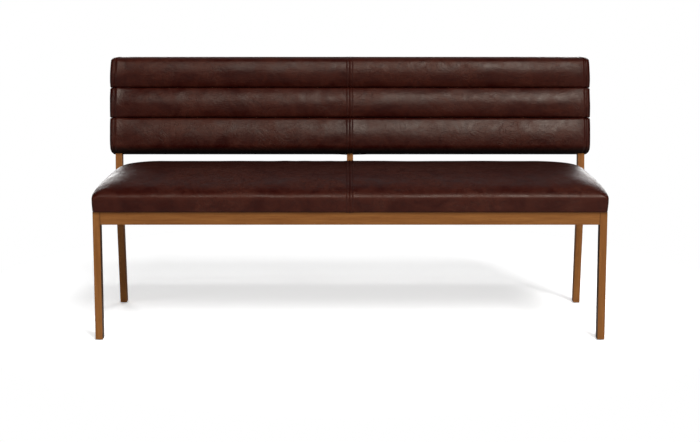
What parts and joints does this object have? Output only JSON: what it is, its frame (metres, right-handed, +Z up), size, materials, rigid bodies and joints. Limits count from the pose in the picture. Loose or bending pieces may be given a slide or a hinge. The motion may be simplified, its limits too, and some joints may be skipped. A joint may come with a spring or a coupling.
{
  "type": "banquette bench",
  "caption": "Upholstered banquette bench with a crowned leather seat cushion and a horizontally channelled back pad on a slim hardwood frame.",
  "frame": {"origin": "on the floor, at the middle of the width and of the depth over everything", "axes": "+X along the bench to the right seen from the front, +Y to the back, +Z up"},
  "size_m": [1.676, 0.631, 0.8839],
  "materials": {
    "show_wood": "satin lacquer",
    "frame_timber": "planed, unfinished",
    "plywood": "sanded, unfinished",
    "leather": "semi-gloss, waxed and mottled",
    "foam": "open-celled foam, matt",
    "wadding": "fluffy, matt",
    "dust_cloth": "matt non-woven",
    "glide": "matt",
    "steel": "zinc plated"
  },
  "bodies": {
    "root": {"back_board": "plywood", "bearer_centre": "frame_timber", "bearer_left": "frame_timber", "bearer_right": "frame_timber", "block_screws": "steel", "board_screws": "steel", "centre_post": "show_wood", "corner_block_front_left": "frame_timber", "corner_block_front_right": "frame_timber", "corner_block_rear_left": "frame_timber", "corner_block_rear_right": "frame_timber", "deck_screws": "steel", "front_leg_left": "show_wood", "front_leg_right": "show_wood", "front_rail": "show_wood", "glide_front_left": "glide", "glide_front_right": "glide", "glide_nails": "steel", "glide_rear_left": "glide", "glide_rear_right": "glide", "lower_batten_left": "frame_timber", "lower_batten_right": "frame_timber", "lower_channel_cover_left": "leather", "lower_channel_cover_right": "leather", "lower_channel_foam": "foam", "middle_channel_cover_left": "leather", "middle_channel_cover_right": "leather", "middle_channel_foam": "foam", "panel_screws": "steel", "post_screws": "steel", "rear_cover_left": "leather", "rear_cover_right": "leather", "rear_leg_left": "show_wood", "rear_leg_right": "show_wood", "rear_panel": "plywood", "rear_rail": "show_wood", "rear_wadding": "wadding", "seat_base_foam": "foam", "seat_cover_left": "leather", "seat_cover_right": "leather", "seat_crown_foam": "foam", "seat_deck": "plywood", "seat_dust_cover": "dust_cloth", "side_rail_left": "show_wood", "side_rail_right": "show_wood", "upper_batten_left": "frame_timber", "upper_batten_right": "frame_timber", "upper_channel_cover_left": "leather", "upper_channel_cover_right": "leather", "upper_channel_foam": "foam"}
  },
  "joints": []
}
